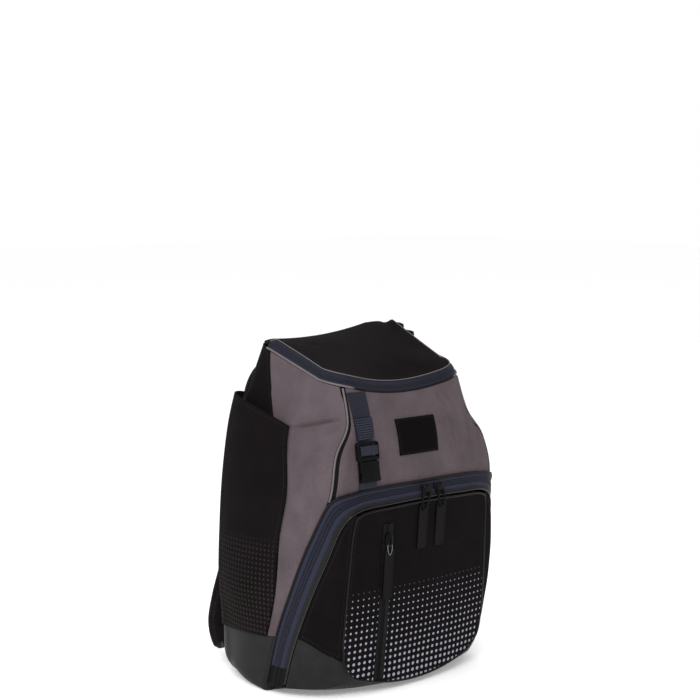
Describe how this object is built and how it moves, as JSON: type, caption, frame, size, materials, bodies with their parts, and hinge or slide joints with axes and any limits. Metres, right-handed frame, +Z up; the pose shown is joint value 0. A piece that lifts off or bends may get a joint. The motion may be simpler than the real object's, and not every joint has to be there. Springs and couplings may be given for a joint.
{
  "type": "baseball backpack",
  "caption": "Upright soft backpack with a zipped lid, a wedge-shaped front pocket, bat sleeves on its sides, padded shoulder straps and a buckled front strap.",
  "frame": {"origin": "middle of the underside of the whole part's box, on the floor", "axes": "+Z up, the front pocket faces -Y, the wearer's back is at +Y, the buckled strap is at -X"},
  "size_m": [0.3664, 0.3207, 0.4812],
  "materials": {
    "padded_black_cloth": "matte padded cloth",
    "grey_cloth": "matte woven polyester",
    "black_cloth": "matte woven polyester",
    "coated_cloth": "satin coated cloth with a fine grain",
    "zip_tape": "reversed coil zip tape",
    "piping": "satin piping",
    "webbing": "ribbed webbing",
    "strap_webbing": "ribbed webbing",
    "moulded_plastic": "fine matte",
    "slider_metal": "satin black",
    "pull_rubber": "matte moulded"
  },
  "bodies": {
    "root": {"back_panel": "padded_black_cloth", "shoulder_strap_left": "padded_black_cloth", "shoulder_strap_right": "padded_black_cloth", "front_panel": "grey_cloth", "side_panel_left": "grey_cloth", "side_panel_right": "grey_cloth", "sleeve_lining_left": "black_cloth", "sleeve_lining_right": "black_cloth", "bat_sleeve_left": "black_cloth", "bat_sleeve_right": "black_cloth", "lid": "black_cloth", "pocket_gusset_left": "black_cloth", "pocket_gusset_right": "black_cloth", "pocket_face": "black_cloth", "patch": "black_cloth", "boot": "coated_cloth", "pocket_boot": "coated_cloth", "lid_zip": "zip_tape", "pocket_zip": "zip_tape", "face_zip": "zip_tape", "lid_piping_lower": "piping", "lid_piping_upper": "piping", "seam_piping_left": "piping", "seam_piping_right": "piping", "pocket_piping_outer": "piping", "pocket_piping_inner": "piping", "face_piping": "piping", "buckle_webbing_upper": "webbing", "buckle_webbing_lower": "webbing", "strap_webbing_left": "strap_webbing", "strap_webbing_right": "strap_webbing", "buckle_plug": "moulded_plastic", "buckle_socket": "moulded_plastic", "strap_adjuster_left": "moulded_plastic", "strap_adjuster_right": "moulded_plastic", "pocket_zip_a_slider": "slider_metal", "pocket_zip_b_slider": "slider_metal", "face_zip_slider": "slider_metal", "lid_zip_a_slider": "slider_metal", "lid_zip_b_slider": "slider_metal", "pocket_zip_a_tag": "pull_rubber", "pocket_zip_b_tag": "pull_rubber", "face_zip_tag": "pull_rubber"}
  },
  "joints": []
}
